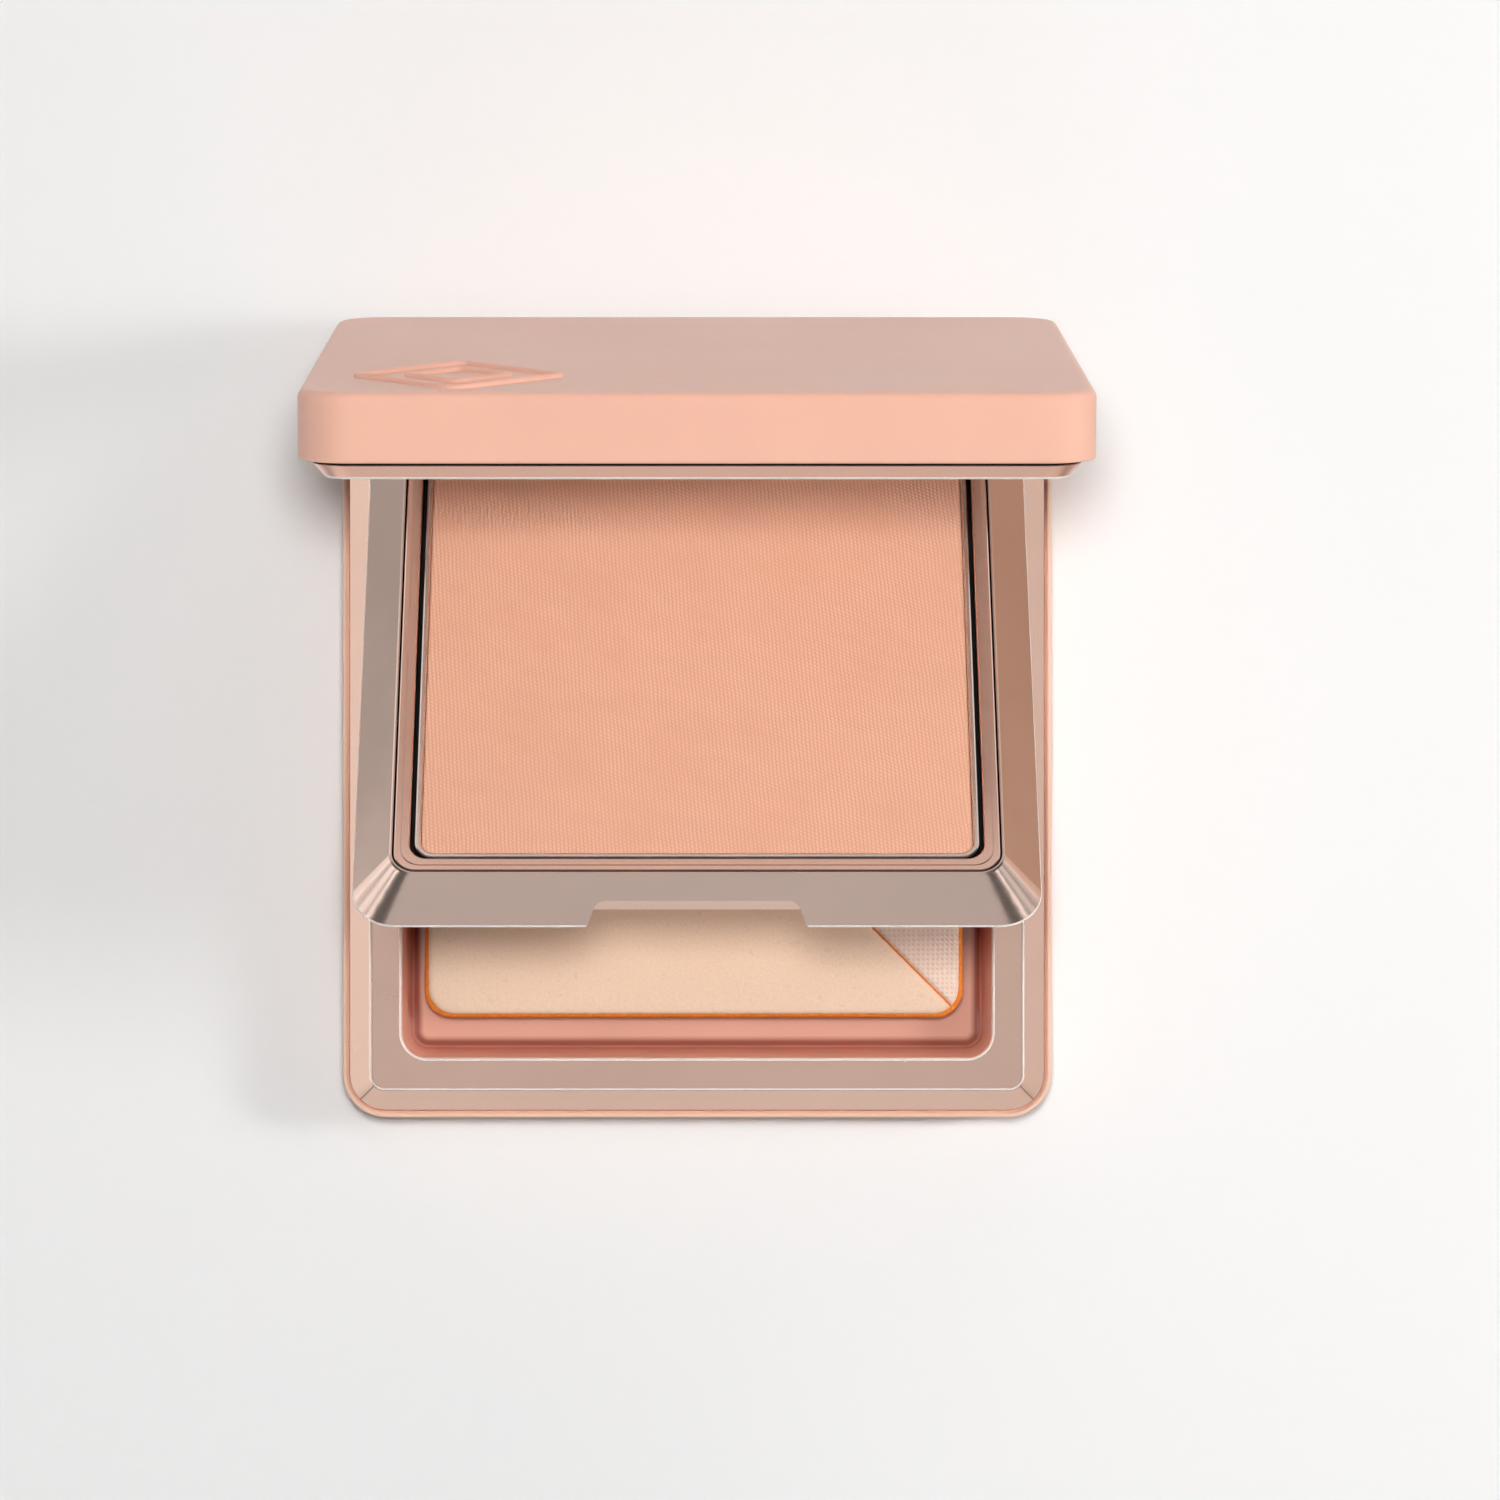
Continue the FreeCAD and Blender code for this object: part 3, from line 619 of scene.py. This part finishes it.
def cover(name, side, mat, inset=0.52, seam=0.10, thick=0.46):
    """Cover cloth on the foam: a thin pad with rolled edges, on one side of the diagonal seam."""
    n = math.sqrt(0.5)
    c0 = (SHX - SHY) * n
    steps = [0.0, 0.04, 0.12, 0.24, 0.42, 0.66, 0.95]
    pts, info = [], []
    edge0 = None
    for d in steps:
        i = inset + d
        poly = ring(SHX - i, SHY - i, SR + 0.2 - i, 0.6)
        poly = clip(poly, -side * n, -side * n, -side * c0 - seam - d * 0.55)
        if edge0 is None:
            edge0 = len(poly)
            poly = [(x + 0.05 * noise.noise(Vector((x * 1.7, y * 1.7, side))), y + 0.05 * noise.noise(Vector((x * 1.7, y * 1.7, 7 + side))))
                    for x, y in poly]
        for q in poly:
            pts.append(q)
            info.append(d)
    last = steps[-1]
    g = 0.9
    for a in range(int(-SHX / g) - 1, int(SHX / g) + 2):
        for b in range(int(-SHY / g) - 1, int(SHY / g) + 2):
            x, y = a * g + (0.45 if b % 2 else 0.0), b * g
            m = inset + last + 0.35
            qx, qy = abs(x) - (SHX - SR), abs(y) - (SHY - SR)
            dd = math.hypot(max(qx, 0), max(qy, 0)) - SR if qx > 0 and qy > 0 else max(abs(x) - SHX, abs(y) - SHY)
            if dd < -m and side * (n * x + n * y - c0) > seam + last * 0.55 + 0.35:
                pts.append((x, y))
                info.append(last)
    ring_edges = [(k, (k + 1) % edge0) for k in range(edge0)]
    vo, eo, fo, ov, _, _ = delaunay_2d_cdt([Vector(q) for q in pts], ring_edges, [], 1, 1e-5)
    zt = []
    for k, q in enumerate(vo):
        src = ov[k]
        d = min((info[s] for s in src), default=last)
        f = min(d / 0.95, 1.0)
        prof = math.sqrt(max(0.0, 1.0 - (1.0 - f) ** 2.2))
        x, y = q[0] + SX, q[1] + SY
        rip = 0.02 * noise.noise(Vector((x * 0.35, y * 0.35, 3.0)))
        zt.append(foam_top(x, y) - 0.02 + thick * prof + rip)
    nv = len(vo)
    verts = [((q[0] + SX) * MM, (q[1] + SY) * MM, z * MM) for q, z in zip(vo, zt)]
    verts += [((q[0] + SX) * MM, (q[1] + SY) * MM, (foam_top(q[0] + SX, q[1] + SY) - 0.3) * MM) for q in vo]
    faces = [tuple(f) for f in fo] + [tuple(nv + k for k in reversed(f)) for f in fo]
    idx = {}
    for k, src in enumerate(ov):
        for q in src:
            idx[q] = k
    loop = [idx[k] for k in range(edge0)]
    for a, b in zip(loop, loop[1:] + loop[:1]):
        if a != b:
            faces.append((a, nv + a, nv + b, b))
    o = make(name, verts, faces, mat)
    return o


smooth_cover = cover("sponge_cover_smooth", -1, MATS["sponge_smooth_cloth"])
mesh_cover = cover("sponge_cover_mesh", 1, MATS["sponge_mesh_cloth"])
for o, node, fill, slotname in ((foam, "sponge_core", 1.0, "sponge_foam"),
                                (smooth_cover, "sponge_smooth_face", 0.9, "sponge_smooth_cloth"),
                                (mesh_cover, "sponge_mesh_face", 0.9, "sponge_mesh_cloth")):
    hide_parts(node)
    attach(o, "base")

# ------------------------------------------------------------------ stage
def area(name, loc, target, sx, sy, power, colour=(1, 1, 1)):
    d = bpy.data.lights.new(name, "AREA")
    d.shape = "RECTANGLE"
    d.size, d.size_y = sx, sy
    d.energy = power
    d.color = colour
    o = bpy.data.objects.new(name, d)
    scene.collection.objects.link(o)
    o.location = loc
    o.rotation_euler = (Vector(target) - Vector(loc)).to_track_quat("-Z", "Y").to_euler()
    return o


world = bpy.data.worlds.new("studio")
scene.world = world
world.use_nodes = True
wt = world.node_tree
wtc = wt.nodes.new("ShaderNodeTexCoord")
wsep = wt.nodes.new("ShaderNodeSeparateXYZ")
wt.links.new(wtc.outputs["Generated"], wsep.inputs[0])
wr = wt.nodes.new("ShaderNodeValToRGB")
wm = wt.nodes.new("ShaderNodeMapRange")
wm.inputs["From Min"].default_value = -1.0
wt.links.new(wsep.outputs["Z"], wm.inputs["Value"])
wt.links.new(wm.outputs["Result"], wr.inputs["Fac"])
UP = 0.145
stops = [(0.0, (1.0, 0.985, 0.97, 1)), (0.10, (0.95, 0.93, 0.91, 1)), (0.19, (0.53, 0.515, 0.50, 1)), (0.49, (0.60, 0.585, 0.57, 1)),
         (0.505, (UP, UP, UP * 1.02, 1)), (1.0, (UP, UP, UP * 1.02, 1))]
while len(wr.color_ramp.elements) < len(stops):
    wr.color_ramp.elements.new(0.5)
for e, (p, c) in zip(wr.color_ramp.elements, stops):
    e.position = p
    e.color = c
# the right-hand side is warmer low down, as beside a peach surface
warm = wt.nodes.new("ShaderNodeMapRange")
warm.inputs["From Min"].default_value, warm.inputs["From Max"].default_value = 0.25, 0.7
wt.links.new(wsep.outputs["X"], warm.inputs["Value"])
low = wt.nodes.new("ShaderNodeMapRange")
low.inputs["From Min"].default_value, low.inputs["From Max"].default_value = 0.05, -0.1
wt.links.new(wsep.outputs["Z"], low.inputs["Value"])
both = wt.nodes.new("ShaderNodeMath")
both.operation = "MULTIPLY"
wt.links.new(warm.outputs["Result"], both.inputs[0])
wt.links.new(low.outputs["Result"], both.inputs[1])
wmix = wt.nodes.new("ShaderNodeMix")
wmix.data_type = "RGBA"
wt.links.new(both.outputs[0], wmix.inputs[0])
wt.links.new(wr.outputs["Color"], wmix.inputs[6])
wmix.inputs[7].default_value = (0.62, 0.42, 0.32, 1)
wt.links.new(wmix.outputs[2], wt.nodes["Background"].inputs["Color"])
wt.nodes["Background"].inputs["Strength"].default_value = 1.0

key = area("key_top", (0.0, 0.041, 0.65), (0, 0.0, 0.03), 0.06, 0.06, 2.25)
side = area("side_right", (0.46, 0.03, 0.37), (0.0, 0.0, 0.02), 0.12, 0.12, 1.15)
front = area("front_low", (-0.05, -0.60, 0.30), (0, 0.0, 0.04), 0.5, 0.25, 0.35)
back = area("fill_back", (0.10, 0.70, 0.36), (0, 0.03, 0.05), 0.5, 0.3, 0.75, (1.0, 0.88, 0.80))
for o in (key, side, front, back):
    o.visible_glossy = False


def panel(name, loc, target, sx, sy, radiance, colour=(1, 1, 1)):
    """Large card that shows only in reflections."""
    o = area(name, loc, target, sx, sy, radiance * math.pi * sx * sy, colour)
    o.visible_diffuse = False
    return o


panel("card_top", (0, -0.10, 1.6), (0, -0.10, 0), 1.3, 2.0, 0.58)
panel("card_front", (0, -1.6, 0.28), (0, 0, 0.02), 3.2, 0.75, 0.66)
panel("card_floor", (0, -0.46, 0.004), (0, -0.46, 1.0), 1.2, 0.72, 0.33, (1.0, 0.86, 0.76))
panel("card_floor_left", (-0.66, -0.05, 0.004), (-0.66, -0.05, 1.0), 1.04, 1.4, 0.75)
panel("card_floor_right", (0.66, -0.05, 0.004), (0.66, -0.05, 1.0), 1.04, 1.4, 0.35)
panel("card_back", (0, 1.6, 0.28), (0, 0, 0.02), 3.2, 0.75, 0.66)
panel("card_left", (-1.6, 0, 0.14), (0, 0, 0.02), 3.0, 0.45, 0.84)
panel("card_left_up", (-1.6, 0, 0.72), (0, 0, 0.03), 2.4, 0.50, 1.40)
panel("card_right", (1.6, 0, 0.14), (0, 0, 0.02), 3.0, 0.45, 0.70)
panel("card_right_up", (1.6, 0, 0.72), (0, 0, 0.03), 2.4, 0.42, 0.95)
# narrow bright strips that only the rounded metal edges pick up
for name, x, y in (("strip_front", 0, -1), ("strip_back", 0, 1), ("strip_left", -1, 0), ("strip_right", 1, 0)):
    e = math.radians(40.0)
    panel(name, (1.7 * x * math.cos(e), 1.7 * y * math.cos(e), 1.7 * math.sin(e)), (0, 0, 0.02), 1.1, 0.16, 2.6)

bm = bmesh.new()
bmesh.ops.create_grid(bm, x_segments=8, y_segments=8, size=1.6)
floor_mesh = bpy.data.meshes.new("floor")
bm.to_mesh(floor_mesh)
bm.free()
floor = bpy.data.objects.new("floor", floor_mesh)
scene.collection.objects.link(floor)
floor.location = (0, 0, -0.00002)
fm = Mat("floor_pale", rough=0.75, spec=0.2)
fm.colour(fm.ramp(fm.noise(6, 2), [(0.3, (0.93, 0.93, 0.925, 1)), (0.7, (0.95, 0.95, 0.945, 1))]))
floor.data.materials.append(fm.m)
floor.visible_glossy = False

# ------------------------------------------------------------------ camera
cam = bpy.data.cameras.new("camera")
cam.sensor_width = 36.0
cam.lens = 153.4
cam.shift_x = 53.0 / 1500.0
cam.clip_start, cam.clip_end = 0.01, 10.0
camo = bpy.data.objects.new("camera", cam)
scene.collection.objects.link(camo)
camo.location = (0, 0.00136, 0.685)
camo.rotation_euler = (0, 0, 0)
scene.camera = camo
scene.view_settings.view_transform = "Standard"
scene.view_settings.look = "None"
scene.view_settings.exposure = 0.0
scene.view_settings.gamma = 1.0

bpy.context.view_layer.update()
